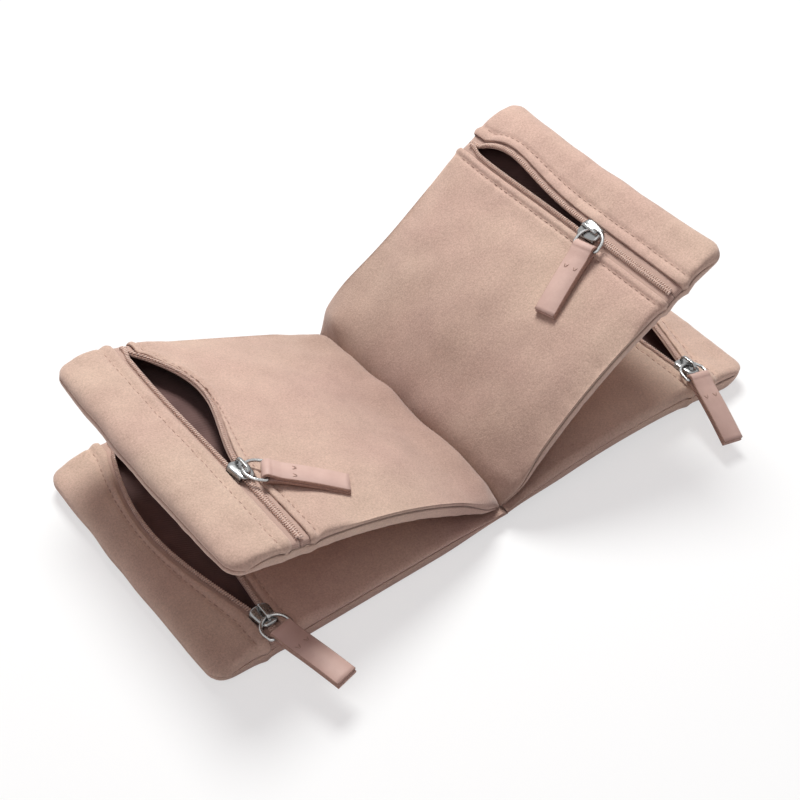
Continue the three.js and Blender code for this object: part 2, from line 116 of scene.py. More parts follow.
# The slice of noise that each kind of unevenness takes, and what sets the pouches apart in it
FRONT_SLICE = 0.0
BACK_SLICE = 9.0
SLICE = {"end": 3.0, "pucker": 4.0, "gather": 5.0, "swell": 7.0, "inner": 11.0, "outer": 13.0}
LEAF_SEED = (17.0, 31.0)

# Zip
ZIP_AT = 98.0
ZIP_END = 53.5
ZIP_RUN = 48.75
OUT = {"inner": -1, "outer": 1}
ZIP_LIP = {"inner": 3.5, "outer": 3.9}
END_STOP = 3.0
MOUTH_ROUND = 0.95
LIFT_SPAN = 28.0
LIP_FOLD = 0.6
LIP_ZONE = 9.0
LIP_TURN_IN = (1.5, 4.0)
LIP_ROLLS = (ZIP_AT - 5.3, ZIP_AT + 5.7)
ROLL_PROUD = 0.9
ROLL_WIDTH = 1.9
ROLL_POWER = 10
RIDGE = 0.42
RIDGE_AT = 1.5
RIDGE_WIDTH = 1.3
RIDGE_WAVE = 0.9
RIDGE_WAVE_LENGTH = 3.1
TAPE_DEPTH = 1.3
TAPE_END_DIP = 0.3
TAPE_DIP_FROM = 50.0
TAPE_DIP_RUN = 6.0
TAPE_END_IN = 0.8
TAPE_HALF = 0.3
TAPE_TUCKED = 0.1
TAPE_UNDER = 6.6
TAPE_LEAST = 0.6
TAPE_FREE = 0.1
COIL_BASE = 0.5
COIL_HEIGHT = 1.2
COIL_SPREAD = 0.9
COIL_MESH = 0.4
COIL_END = 0.8
PART_CLOSE = 6.0
TOOTH_PITCH = 0.95

# Slider
SLIDER_LENGTH = 9.5
SLIDER_SHOULDER = 8.0
SLIDER_TAIL = 6.2
SLIDER_TOP = 3.35
CHANNEL_ROOF = 2.45
CHANNEL_FLOOR = -0.6
SLIDER_PLATE = 0.9
PLATE_SQUARE = 0.55
RAIL_SETBACK = 1.3
RAIL_WIDTH = 0.7
RAIL_CORNER = 0.2
RAIL_IN = 0.4
RAIL_CLEAR = 0.3
RAIL_SUNK = 0.3
POST_SETBACK = 1.7
POST_SECTION = (1.2, 2.2, 0.5)
POST_SUNK = 0.2
BRIDGE_LENGTH = 8.0
BRIDGE_WIDTH = 1.3
BRIDGE_BAR = 0.9
BRIDGE_CORNER = 0.3
BRIDGE_WINDOW = 2.0
BRIDGE_SUNK = 0.3
BRIDGE_SQUARE = (0.45, 0.6)

# Topstitching, and the groove and gathers that it draws in the cloth
TOPSTITCH = {"inner": 3.1, "outer": 4.3}
STITCH_BOW = 0.75
STITCH_LENGTH = 2.1
STITCH_PITCH = 2.9
STITCH_START = 3.2
STITCH_MARGIN = 5.0
STITCH_CLEAR = 1.2
STITCH_PROUD = 0.12
STITCH_STEP = 0.6
STITCH_SINK = 0.9
STITCH_SIDES = 6
THREAD = 0.26
GROOVE = 0.65
GROOVE_WIDTH = 0.85
GATHER = 0.5
GATHER_LENGTH = (3.6, 10.0)
GATHER_WIDTH = 4.5

# Lining
LINING_IN = 1.4
LINING_GAP = 2.3
LINING_ROUND = 6.0
LINING_LIP = 1.0
LINING_LIP_END = 5.0
LINING_LIFT_RUN = 20.0
LINING_SPINE = 24.0
LINING_SPINE_TURN = 1.2
LINING_END = 4.5
LINING_END_TURN = 0.8
LINING_SEAM = 0.7
LINING_SEAM_AT = 7.5
LINING_SEAM_WIDTH = 0.7
LINING_SEAM_FADE = 10.0
LINING_CREASE = 0.35
LINING_CREASE_LENGTH = (9.0, 14.0)
LINING_CREASE_FADE = 8.0

# Pulls; the loop's mouth (half of it) and the tilt are in degrees
RING_RADIUS = 5.2
RING_REACH = 3.0
RING_CORNER = 1.2
RING_WIRE = 1.2
TAB_LENGTH = 28.5
TAB_WIDTH = 8.8
TAB_CLOSE = 5.2
TAB_STAGGER = 0.4
TAB_SAG = 0.5
LEATHER = 1.2
LEATHER_SOFT = 0.25
LEATHER_GAP = 0.04
LOOP_CLEAR = 0.3
LOOP_MOUTH = 55.0
HANGING_TILT = 10.0
TACK_AT = 9.0
TACK_PROUD = 0.1
TACK_LENGTH = 2.0
TACK_THREAD = 0.22

# Steps of the grids
ROLL_STEPS = 7
MIDDLE_STEPS = 66
FRONT_STEPS = 46
LIP_STEPS = 15
FOLD_STEPS = 6
BAND_STEPS = 18
BACK_STEPS = 52
END_STEPS = 9
LINING_STEPS = (24, 40, 6)
TAPE_STEPS = 4
TOOTH_SIDES = 6
PLATE_SIDES = 48
RAIL_STEPS = 8
BRIDGE_STEPS = 22
RING_STEPS = 32
CORNER_STEPS = 6
WIRE_SIDES = 12
TAB_STEPS = 14
LOOP_STEPS = 18
NECK_STEPS = 6
BIND_STEPS = (10, 58)

# Camera, floor and lights, in metres; the lens in millimetres
CAMERA_TARGET = Vector((-13.1, -12.0, 34.9)) * MM
CAMERA_BACK = Vector((-0.4289, -0.5680, 0.7025)).normalized()
CAMERA_DISTANCE = 577.9 * MM
CAMERA_LENS = 71.92
FLOOR_REACH = 20.0
FLOOR_Z = -0.0002
LIGHT_AIM = Vector((0, 0, 0.03))


def ease(t):
    """Smooth step from 0 to 1."""
    t = min(max(t, 0.0), 1.0)
    return t * t * (3 - 2 * t)


def bulge(t):
    """Quarter of an ellipse: rises steeply from 0 and levels off at 1."""
    t = min(max(t, 0.0), 1.0)
    return math.sqrt(1 - (1 - t) ** 2)


def rise(t):
    """Quarter of a sine: rises from 0 and levels off at 1."""
    return math.sin(math.pi / 2 * min(max(t, 0.0), 1.0))


def arch(t):
    """Half a sine: 0 at both ends and 1 in the middle."""
    return math.sin(math.pi * min(max(t, 0.0), 1.0))


def bell(offset, width):
    return math.exp(-((offset / width) ** 2))


def midway(y):
    """1 midway between the sides, 0 at them."""
    return max(1 - (y / SIDE) ** 2, 0)


def spread(start, stop, count):
    return [start + (stop - start) * i / count for i in range(count + 1)]


class Leaf:
    """One pouch as a bent leaf: s runs out from the spine, y along it, h off its middle surface."""

    def __init__(self, name, side, angles, seam, slider, bow, lift, skew, pull, twist=0, waist=0,
                 puff=0.6, swell=0, knuckle=0, pinch=(0, 0), flare=0, crease=11, droop=0):
        self.name = name
        self.side = side
        self.root, self.end = (math.radians(a) for a in angles)
        self.bend = (self.end - self.root) / POUCH_LENGTH
        self.seam = seam
        self.slider_y = ZIP_RUN * (2 * slider - 1)
        self.bow = bow
        self.lift = lift
        self.skew = skew
        self.pull = pull
        self.twist = twist
        self.waist = waist
        self.puff = puff
        self.swell = swell
        self.knuckle = knuckle
        self.pinch = pinch
        self.flare = flare
        self.crease = crease
        self.droop = droop
        self.upper = name.startswith("upper")
        self.seed = LEAF_SEED[0] * len(name) + LEAF_SEED[1] * side

    def angle(self, s):
        return self.root + self.bend * s

    def place(self, s, y, h):
        """Point in space, in metres, with the twist, the drawn-in or flared sides and the lip rolls."""
        a = self.angle(s)
        if abs(self.bend) < STRAIGHT:
            x = s * math.cos(self.root)
            z = s * math.sin(self.root)
        else:
            x = (math.sin(a) - math.sin(self.root)) / self.bend
            z = (math.cos(self.root) - math.cos(a)) / self.bend
        if s < ZIP_AT:
            h -= self.twist * (y / SIDE) * arch(s / ZIP_AT)
        x -= h * math.sin(a)
        z += h * math.cos(a)
        drawn_in = self.pinch[0 if y < 0 else 1] * (1 - ease(s / PINCH_RUN))
        if y > 0:
            drawn_in -= self.flare * bell(s - FLARE_AT, FLARE_RUN)
        drawn_in *= (y / SIDE) ** 2
        for lip_roll in LIP_ROLLS:
            drawn_in -= ROLL_PROUD * (y / SIDE) ** ROLL_POWER * bell(s - lip_roll, ROLL_WIDTH)
        return Vector((self.side * x, y - math.copysign(1, y) * drawn_in, SPINE_Z + z)) * MM

    def outer_edge(self, y):
        """Outer end with round corners, drawn in or bowed out at the middle and not quite straight."""
        past = max(abs(y) - (SIDE - END_CORNER), 0)
        wave = END_WAVE * noise.noise(Vector((y / END_WAVE_LENGTH, self.seed, SLICE["end"])))
        drawn_in = (self.waist - wave) * midway(y)
        return POUCH_LENGTH - END_CORNER + math.sqrt(max(END_CORNER**2 - past**2, 0)) - drawn_in

    def fill(self, s, y, crease=False, slack=None):
        """How full the pouch is, from 0 at a seam to 1; slack cloth fills slowly from the sides."""
        t = (s - SPINE_START) / (self.crease if crease else SPINE_TAPER)
        from_spine = bulge(t) if crease else rise(t)
        to_end = self.outer_edge(y) - s
        from_end = bulge(to_end / END_ROLL) * (1 - self.droop * (1 - rise(to_end / DROOP_RUN)))
        if slack is None:
            slack = SIDE_SLACK * ease((abs(s - ZIP_AT) - TAUT_BY_ZIP) / SLACK_RUN)
        inset = SIDE - abs(y)
        from_side = bulge(inset / SIDE_ROLL) * (1 - slack * (1 - rise(inset / SIDE_SLOPE)))
        return from_spine * from_end * from_side

    def seam_at(self, s, y):
        """Height of the seam round the pouch: close under the front cloth along the sides."""
        if self.name == "lower_right":
            return self.seam * (1 - self.fill(s, y)) * ease(2 * s / POUCH_LENGTH - 1)
        at_side = 1 - bulge((SIDE - abs(y)) / SIDE_ROLL)
        risen = ease((s - SEAM_RISE_FROM) / SEAM_RISE_RUN)
        return self.seam * at_side * risen * ease((self.outer_edge(y) - s) / SEAM_FALL)

    def crease_roll(self, s, y):
        """Cloth that swells up along the crease, unevenly, and tucks in at its back end."""
        wave = noise.noise(Vector((y / SWELL_WAVE_LENGTH, self.seed, SLICE["swell"])))
        roll = self.swell * (1 + SWELL_WAVE * wave) * bell(s - SWELL_AT, SWELL_RUN)
        roll *= ease((SIDE - abs(y)) / SWELL_FADE)
        knuckle = bell(s - KNUCKLE_AT, KNUCKLE_RUN) * bell(SIDE - y - KNUCKLE_IN, KNUCKLE_RUN)
        tuck = bell(s - TUCK_AT, TUCK_RUN[0]) * bell(SIDE - y - TUCK_IN, TUCK_RUN[1])
        return roll + self.knuckle * (knuckle - TUCK_SHARE * tuck)

    def gape(self, y):
        """Shape of the open mouth from the slider to the back end, 0 to 1."""
        neck = self.slider_y + SLIDER_LENGTH / 2
        t = (y - neck) / (ZIP_END - END_STOP - neck)
        return math.sin(math.pi * t**self.skew) ** MOUTH_ROUND if 0 < t < 1 else 0.0

    def parted(self, y):
        """How far each coil stands off the zip's middle line behind the slider."""
        opening = ease((y - self.slider_y) / (SLIDER_LENGTH / 2))
        return COIL_SPREAD * opening * ease((ZIP_END - y) / PART_CLOSE)

    def lip_edge(self, y, lip):
        away = ZIP_LIP[lip] + self.bow[lip] * self.gape(y)
        return ZIP_AT + OUT[lip] * away

    def stitch_line(self, y, lip):
        """Where the topstitching runs; it bows less than the lip does."""
        away = ZIP_LIP[lip] + TOPSTITCH[lip] + STITCH_BOW * self.bow[lip] * self.gape(y)
        return ZIP_AT + OUT[lip] * away

    def coil_offset(self, y, lip):
        return self.parted(y) + self.bow[lip] * self.gape(y)

    def ripple(self, s, y, layer):
        """Soft unevenness of filled cloth and small puckers along the seams."""
        at = Vector((s / RIPPLE_LENGTH, y / RIPPLE_LENGTH, self.seed + layer))
        broad = noise.noise(at) * RIPPLE + noise.noise(at * FINE_RATIO) * FINE_RIPPLE
        pull = noise.noise(Vector((s / PULL_LENGTH[0], y / PULL_LENGTH[1], self.seed + layer)))
        pull *= math.exp(-max(s, 0) / PULL_FADE)
        from_side = SIDE - abs(y)
        from_end = self.outer_edge(y) - s
        inset = max(min(from_side, from_end), 0)
        along = s if from_side < from_end else y
        pucker = noise.noise(Vector((along / PUCKER_LENGTH, self.seed + layer, SLICE["pucker"])))
        near_seam = math.exp(-inset / PUCKER_FADE) * min(inset / PUCKER_CLEAR, 1)
        return (broad + pull) * min(inset / RIPPLE_CLEAR, 1) + PUCKER * pucker * near_seam

    def level(self, s, y):
        """Outer face of the front cloth before any lift, ripple or stitching."""
        return self.seam_at(s, y) + EDGE + (HALF - EDGE) * self.fill(s, y, crease=self.upper)

    def sewn(self, y, on, from_lip, lip):
        """Groove and gathers along the topstitching, and the ridge where the lip is folded."""
        off_stitch = on - self.stitch_line(y, lip)
        groove = -GROOVE * bell(off_stitch, GROOVE_WIDTH)
        at = Vector((y / GATHER_LENGTH[0], on / GATHER_LENGTH[1], self.seed + SLICE["gather"]))
        gather = GATHER * noise.noise(at) * bell(off_stitch, GATHER_WIDTH)
        wave = noise.noise(Vector((y / RIDGE_WAVE_LENGTH, self.seed, SLICE[lip])))
        ridge = RIDGE * (1 + RIDGE_WAVE * wave) * bell(from_lip - RIDGE_AT, RIDGE_WIDTH)
        return groove + ridge + gather

    def top(self, s, y, lip):
        """Outer face of the front cloth."""
        edge = self.lip_edge(y, lip)
        on = min(s, edge) if lip == "inner" else max(s, edge)
        from_lip = abs(edge - on)
        span = LIFT_SPAN if lip == "inner" else max(self.outer_edge(y) - edge, 1)
        raised = self.lift[lip] * self.gape(y) * ease(1 - from_lip / span)
        crown = rolled = 0.0
        if lip == "inner":
            crown = self.puff * midway(y) * arch(on / (ZIP_AT - CROWN_SHORT))
            rolled = self.crease_roll(on, y)
        soft = (self.ripple(on, y, FRONT_SLICE) + crown) * ease((from_lip - CALM_LIP[0]) / CALM_LIP[1])
        soft *= ease((on - CALM_SPINE[0]) / CALM_SPINE[1])
        sewn = self.sewn(y, on, from_lip, lip) * self.fill(on, y)
        return self.level(on, y) + raised + soft + rolled + sewn

    def zip_level(self, y, lip):
        """Middle of the zip tape: below the lip, deeper by the ends, flush with the side seams."""
        edge = self.lip_edge(y, lip)
        dip = TAPE_END_DIP * ease((abs(y) - TAPE_DIP_FROM) / TAPE_DIP_RUN)
        depth = (TAPE_DEPTH + dip) * ease(2 * self.fill(edge, y))
        return self.level(edge, y) + self.lift[lip] * self.gape(y) - depth

    def bottom(self, s, y):
        """Outer face of the back cloth; it lies flat where the table carries it."""
        slack = BACK_SLACK if self.upper else 0
        level = self.seam_at(s, y) - EDGE - (HALF - EDGE) * self.fill(s, y, slack=slack)
        if not self.upper:
            return level
        crown = BACK_CROWN * self.puff * midway(y) * arch(s / POUCH_LENGTH)
        return level - crown - self.ripple(s, y, BACK_SLICE) * ease((s - CALM_SPINE[0]) / CALM_SPINE[1])


LEAVES = [
    Leaf("lower_left", -1, (0, 0), seam=1.5, slider=0, skew=1.1, waist=-0.8, droop=0.35,
         bow={"inner": 3.5, "outer": 10}, lift={"inner": 0.3, "outer": 2.5},
         pull={"forward": 2.2, "ring": 0, "tab": 13, "ring_tilt": 0, "tab_tilt": 2}),
    Leaf("lower_right", 1, (12.15, -14.15), seam=3, slider=0, skew=1.1,
         bow={"inner": 2, "outer": 9}, lift={"inner": 0.3, "outer": 3},
         pull={"forward": 0, "ring": 20, "tab": 9, "ring_tilt": 5, "tab_tilt": 18}),
    Leaf("upper_left", -1, (34.1, 11.8), seam=3.0, slider=0.27, skew=1.5, twist=3, waist=-1.6, puff=1.0,
         swell=3.0, knuckle=1.0, pinch=(3, 7), crease=11,
         bow={"inner": 12, "outer": 0.8}, lift={"inner": 0.3, "outer": 0},
         pull={"forward": 0, "ring": 46, "tab": 58, "ring_tilt": 0, "tab_tilt": 3.6}),
    Leaf("upper_right", 1, (49.6, 24.5), seam=3.2, slider=0.34, skew=2.5, twist=2, waist=1.8, puff=1.0,
         swell=1.6, knuckle=3.2, pinch=(3, 2.5), flare=5, crease=26,
         bow={"inner": 0.4, "outer": 3.8}, lift={"inner": 0, "outer": 2.2},
         pull={"forward": 0, "ring": 46, "tab": 78, "ring_tilt": 0, "tab_tilt": 5}),
]


# Materials
def new_material(name, color, roughness):
    material = bpy.data.materials.new(name)
    material.use_nodes = True
    shader = material.node_tree.nodes["Principled BSDF"]
    shader.inputs["Base Color"].default_value = (*color, 1)
    shader.inputs["Roughness"].default_value = roughness
    return material, material.node_tree, shader


def add_node(tree, kind, **inputs):
    node = tree.nodes.new(kind)
    for key, value in inputs.items():
        node.inputs[key.replace("_", " ")].default_value = value
    return node


def place_in_metres(tree):
    """Coordinates in metres on the object, the same for every piece."""
    return tree.nodes.new("ShaderNodeTexCoord").outputs["Object"]


def noise_node(tree, coordinates, scale, detail, roughness=0.6):
    node = add_node(tree, "ShaderNodeTexNoise", Scale=scale, Detail=detail, Roughness=roughness)
    tree.links.new(coordinates, node.inputs["Vector"])
    return node.outputs["Fac"]


def ramp_node(tree, factor, stops):
    node = tree.nodes.new("ShaderNodeValToRGB")
    elements = node.color_ramp.elements
    while len(elements) < len(stops):
        elements.new(0.5)
    for element, (position, color) in zip(elements, stops):
        element.position = position
        element.color = (*color, 1)
    tree.links.new(factor, node.inputs["Fac"])
    return node.outputs["Color"]


def wave_node(tree, coordinates, direction, **inputs):
    node = add_node(tree, "ShaderNodeTexWave", **inputs)
    node.bands_direction = direction
    tree.links.new(coordinates, node.inputs["Vector"])
    return node.outputs["Fac"]


def math_node(tree, operation, *sources):
    node = tree.nodes.new("ShaderNodeMath")
    node.operation = operation
    for socket, source in zip(node.inputs, sources):
        tree.links.new(source, socket)
    return node.outputs[0]


def mix_into(tree, output, *sources):
    """Blend two shaders by a factor, given first, and send the result to an output node."""
    node = tree.nodes.new("ShaderNodeMixShader")
    for socket, source in zip(node.inputs, sources):
        tree.links.new(source, socket)
    tree.links.new(node.outputs["Shader"], tree.nodes[output].inputs["Surface"])


def multiply(tree, first, second):
    node = tree.nodes.new("ShaderNodeMix")
    node.data_type = "RGBA"
    node.blend_type = "MULTIPLY"
    node.inputs["Factor"].default_value = 1.0
    tree.links.new(first, node.inputs[6])
    tree.links.new(second, node.inputs[7])
    return node.outputs[2]


def bump_chain(tree, shader, layers):
    """Several heights, each with its own strength and depth in metres, one on top of the other."""
    normal = None
    for height, strength, distance in layers:
        node = add_node(tree, "ShaderNodeBump", Strength=strength, Distance=distance)
        tree.links.new(height, node.inputs["Height"])
        if normal is not None:
            tree.links.new(normal, node.inputs["Normal"])
        normal = node.outputs["Normal"]
    tree.links.new(normal, shader.inputs["Normal"])


def painted_crease_shade(tree, where):
    """Painted shade: the colour darkens towards the spine, where the pouches fold into the crease."""
    split = tree.nodes.new("ShaderNodeSeparateXYZ")
    tree.links.new(where, split.inputs["Vector"])
    away = math_node(tree, "ABSOLUTE", split.outputs["X"])
    return ramp_node(tree, away, [(0.006, (0.71, 0.67, 0.68)), (0.028, (0.89, 0.87, 0.88)),
                                  (0.056, (1.0, 1.0, 1.0))])


def suede_material():
    material, tree, shader = new_material("suede", (0.52, 0.33, 0.26), 0.92)
    where = place_in_metres(tree)
    patches = noise_node(tree, where, scale=17, detail=3, roughness=0.5)
    tone = ramp_node(tree, patches, [(0.36, (0.560, 0.386, 0.316)), (0.64, (0.600, 0.442, 0.348))])
    brushed = noise_node(tree, where, scale=95, detail=4)
    strokes = ramp_node(tree, brushed, [(0.3, (0.93, 0.92, 0.92)), (0.7, (1.05, 1.05, 1.05))])
    nap = noise_node(tree, where, scale=1500, detail=3, roughness=0.75)
    speckle = ramp_node(tree, nap, [(0.3, (0.79, 0.78, 0.78)), (0.72, (1.14, 1.14, 1.14))])
    napped = multiply(tree, multiply(tree, tone, strokes), speckle)
    # Painted shade near the spine crease darkens the suede's colour
    color = multiply(tree, napped, painted_crease_shade(tree, where))
    tree.links.new(color, shader.inputs["Base Color"])
    shader.inputs["Specular IOR Level"].default_value = 0.12
    shader.inputs["Sheen Weight"].default_value = 0.3
    shader.inputs["Sheen Roughness"].default_value = 0.55
    shader.inputs["Sheen Tint"].default_value = (0.97, 0.90, 0.88, 1)
    grain = noise_node(tree, where, scale=700, detail=4, roughness=0.7)
    bump_chain(tree, shader, [(nap, 0.5, 0.00022), (grain, 0.45, 0.0004)])
    return material


def lining_material():
    material, tree, shader = new_material("lining_cloth", (0.085, 0.042, 0.038), 0.75)
    where = place_in_metres(tree)
    patches = noise_node(tree, where, scale=60, detail=3)
    tone = ramp_node(tree, patches, [(0.3, (0.098, 0.050, 0.045)), (0.7, (0.150, 0.080, 0.072))])
    tree.links.new(tone, shader.inputs["Base Color"])
    shader.inputs["Specular IOR Level"].default_value = 0.25
    shader.inputs["Sheen Weight"].default_value = 0.15
    weave = wave_node(tree, where, "DIAGONAL", Scale=520, Distortion=1.5, Detail=1)
    folds = noise_node(tree, where, scale=90, detail=3)
    bump_chain(tree, shader, [(weave, 0.3, 0.0002), (folds, 0.4, 0.0012)])
    return material


def tape_material():
    material, tree, shader = new_material("zip_tape", (0.46, 0.29, 0.23), 0.85)
    where = place_in_metres(tree)
    rib = wave_node(tree, where, "Y", Scale=1000, Distortion=0.6, Detail=1)
    tone = ramp_node(tree, rib, [(0.2, (0.44, 0.298, 0.248)), (0.8, (0.53, 0.372, 0.310))])
    tree.links.new(tone, shader.inputs["Base Color"])
    shader.inputs["Specular IOR Level"].default_value = 0.2
    shader.inputs["Sheen Weight"].default_value = 0.15
    fuzz = noise_node(tree, where, scale=1800, detail=2)
    bump_chain(tree, shader, [(rib, 0.4, 0.0001), (fuzz, 0.3, 0.0001)])
    return material


def coil_material():
    material, tree, shader = new_material("zip_coil", (0.56, 0.37, 0.30), 0.42)
    where = place_in_metres(tree)
    shade = noise_node(tree, where, scale=400, detail=2)
    tone = ramp_node(tree, shade, [(0.3, (0.60, 0.430, 0.360)), (0.7, (0.70, 0.525, 0.445))])
    tree.links.new(tone, shader.inputs["Base Color"])
    shader.inputs["Specular IOR Level"].default_value = 0.4
    return material


def thread_material():
    material, tree, shader = new_material("thread", (0.40, 0.24, 0.19), 0.7)
    where = place_in_metres(tree)
    twist = wave_node(tree, where, "DIAGONAL", Scale=900, Distortion=0.3)
    tone = ramp_node(tree, twist, [(0.2, (0.34, 0.215, 0.175)), (0.8, (0.48, 0.325, 0.265))])
    tree.links.new(tone, shader.inputs["Base Color"])
    bump_chain(tree, shader, [(twist, 0.5, 0.0001)])
    return material


def metal_material(name, shade):
    material, tree, shader = new_material(name, (shade, shade, shade), 0.4)
    where = place_in_metres(tree)
    wear = noise_node(tree, where, scale=900, detail=4)
    rough = ramp_node(tree, wear, [(0.35, (0.20, 0.20, 0.20)), (0.75, (0.33, 0.33, 0.33))])
    tree.links.new(rough, shader.inputs["Roughness"])
    shader.inputs["Metallic"].default_value = 1.0
    scratches = noise_node(tree, where, scale=2500, detail=2)
    bump_chain(tree, shader, [(scratches, 0.05, 0.00003)])
    return material


def leather_material():
    material, tree, shader = new_material("pull_leather", (0.56, 0.36, 0.29), 0.55)
    where = place_in_metres(tree)
    patches = noise_node(tree, where, scale=120, detail=4)
    tone = ramp_node(tree, patches, [(0.3, (0.530, 0.355, 0.305)), (0.7, (0.610, 0.425, 0.368))])
    tree.links.new(tone, shader.inputs["Base Color"])
    shader.inputs["Specular IOR Level"].default_value = 0.35
    cells = add_node(tree, "ShaderNodeTexVoronoi", Scale=1500)
    tree.links.new(where, cells.inputs["Vector"])
    pores = noise_node(tree, where, scale=900, detail=3)
    bump_chain(tree, shader, [(cells.outputs["Distance"], 0.18, 0.0001), (pores, 0.25, 0.00015)])
    return material


def leather_edge_material():
    material, tree, shader = new_material("pull_leather_edge", (0.36, 0.21, 0.165), 0.7)
    where = place_in_metres(tree)
    fibre = noise_node(tree, where, scale=1600, detail=3)
    tone = ramp_node(tree, fibre, [(0.3, (0.31, 0.18, 0.14)), (0.7, (0.43, 0.265, 0.21))])
    tree.links.new(tone, shader.inputs["Base Color"])
    bump_chain(tree, shader, [(fibre, 0.4, 0.00015)])
    return material


SUEDE = suede_material()
LINING = lining_material()
TAPE = tape_material()
COIL = coil_material()
THREAD_MATERIAL = thread_material()
SLIDER_METAL = metal_material("slider_metal", 0.31)
RING_METAL = metal_material("ring_metal", 0.42)
PULL_LEATHER = leather_material()
PULL_EDGE = leather_edge_material()


# Mesh helpers
def link_object(name, data):
    thing = bpy.data.objects.new(name, data)
    bpy.context.scene.collection.objects.link(thing)
    return thing


def new_object(name, points, faces, materials):
    mesh = bpy.data.meshes.new(name)
    mesh.from_pydata(points, [], faces)
    for material in materials:
        mesh.materials.append(material)
    work = bmesh.new()
    work.from_mesh(mesh)
    bmesh.ops.recalc_face_normals(work, faces=work.faces)
    work.to_mesh(mesh)
    work.free()
    mesh.polygons.foreach_set("use_smooth", [True] * len(mesh.polygons))
    piece = link_object(name, mesh)
    return piece


def grid_faces(rows, columns):
    faces = []
    for r in range(rows - 1):
        for c in range(columns - 1):
            a = r * columns + c
            b = a + columns
            faces.append((a, a + 1, b + 1, b))
    return faces


def tube_faces(rings, sides, start=0, looped=False):
    faces = []
    for r in range(rings if looped else rings - 1):
        for k in range(sides):
            a = start + r * sides
            b = start + ((r + 1) % rings) * sides
            on = (k + 1) % sides
            faces.append((a + k, a + on, b + on, b + k))
    if not looped:
        faces.append(tuple(start + k for k in range(sides)))
        last = start + (rings - 1) * sides
        faces.append(tuple(last + k for k in reversed(range(sides))))
    return faces


# Rows along the spine: dense where the side rolls over
ROLL_ROWS = [SIDE - SIDE_ROLL * (1 - math.cos(a)) for a in spread(0, math.pi / 2, ROLL_STEPS)]
MIDDLE_ROWS = spread(-(SIDE - SIDE_ROLL), SIDE - SIDE_ROLL, MIDDLE_STEPS)[1:-1]
ROWS = [-y for y in ROLL_ROWS] + MIDDLE_ROWS + ROLL_ROWS[::-1]

# Rows past the side, where the cloth turns in to its seam: how far in, and the share of EDGE left
SEAM_ROWS = [(0.1, 0.4), (0.35, 0.1), (0.9, -0.05)]


def sewn_cloth(leaf, name, columns_at, face):
    """Suede over a grid, turned in to its seam along both sides; face is 1 on top, -1 below."""
    grid = [columns_at(y) for y in ROWS]
    for inset, share in SEAM_ROWS:
        for end in (0, -1):
            source = grid[end]
            side = math.copysign(SIDE - inset, source[0][1])
            row = [(s, side, leaf.seam_at(s, side) + face * EDGE * share) for s, y, h in source]
            grid.insert(0 if end == 0 else len(grid), row)
    points = [leaf.place(*point) for row in grid for point in row]
    faces = grid_faces(len(grid), len(grid[0]))
    return new_object(f"{leaf.name}_{name}", points, faces, [SUEDE])


def rounded(last, roll):
    """Columns that crowd towards the outer edge, where the cloth rolls over."""
    return [last - roll + roll * math.sin(a) for a in spread(0, math.pi / 2, END_STEPS)[1:]]


# Front cloth, from the spine crease to the folded lip at the zip
def front_cloth(leaf):
    def columns_at(y):
        edge = leaf.lip_edge(y, "inner")
        turn = edge - LIP_FOLD
        body = spread(SPINE_START, edge - LIP_ZONE, FRONT_STEPS)
        lip = spread(edge - LIP_ZONE, turn, LIP_STEPS)[1:]
        points = [(s, y, leaf.top(s, y, "inner")) for s in body + lip]
        crest = leaf.top(turn, y, "inner")
        for a in spread(math.pi / 2, -math.pi / 2, FOLD_STEPS)[1:]:
            points.append((turn + LIP_FOLD * math.cos(a), y, crest - LIP_FOLD + LIP_FOLD * math.sin(a)))
        points += [(turn - back, y, crest - 2 * LIP_FOLD) for back in LIP_TURN_IN]
        return points

    piece = sewn_cloth(leaf, "front_cloth", columns_at, 1)
    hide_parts(f"{leaf.name}_front_panel", f"{leaf.name}_spine_fold")
    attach(piece, leaf.name)


# End band, from its folded lip at the zip round to the outer seam
def end_cloth(leaf):
    def columns_at(y):
        edge = leaf.lip_edge(y, "outer")
        turn = edge + LIP_FOLD
        last = leaf.outer_edge(y)
        crest = leaf.top(turn, y, "outer")
        points = [(turn + back, y, crest - 2 * LIP_FOLD) for back in LIP_TURN_IN[::-1]]
        for a in spread(-math.pi / 2, math.pi / 2, FOLD_STEPS)[:-1]:
            points.append((turn - LIP_FOLD * math.cos(a), y, crest - LIP_FOLD + LIP_FOLD * math.sin(a)))
        roll = min(END_ROLL, END_ROLL_SHARE * (last - turn))
        flat = spread(turn, last - roll, BAND_STEPS)
        round_end = rounded(last, roll)
        points += [(s, y, leaf.top(s, y, "outer")) for s in flat + round_end]
        points += [(last - inset, y, leaf.seam_at(last, y) + EDGE * share) for inset, share in SEAM_ROWS]
        return points

    piece = sewn_cloth(leaf, "end_cloth", columns_at, 1)
    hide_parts(f"{leaf.name}_end_band")
    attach(piece, leaf.name)


# Back cloth
def back_cloth(leaf):
    def columns_at(y):
        last = leaf.outer_edge(y)
        flat = spread(SPINE_START, last - END_ROLL, BACK_STEPS)
        round_end = rounded(last, END_ROLL)
        points = [(s, y, leaf.bottom(s, y)) for s in flat + round_end]
        points += [(last - inset, y, leaf.seam_at(last, y) - EDGE * share) for inset, share in SEAM_ROWS]
        return points

    piece = sewn_cloth(leaf, "back_cloth", columns_at, -1)
    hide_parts(f"{leaf.name}_back_panel")
    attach(piece, leaf.name)


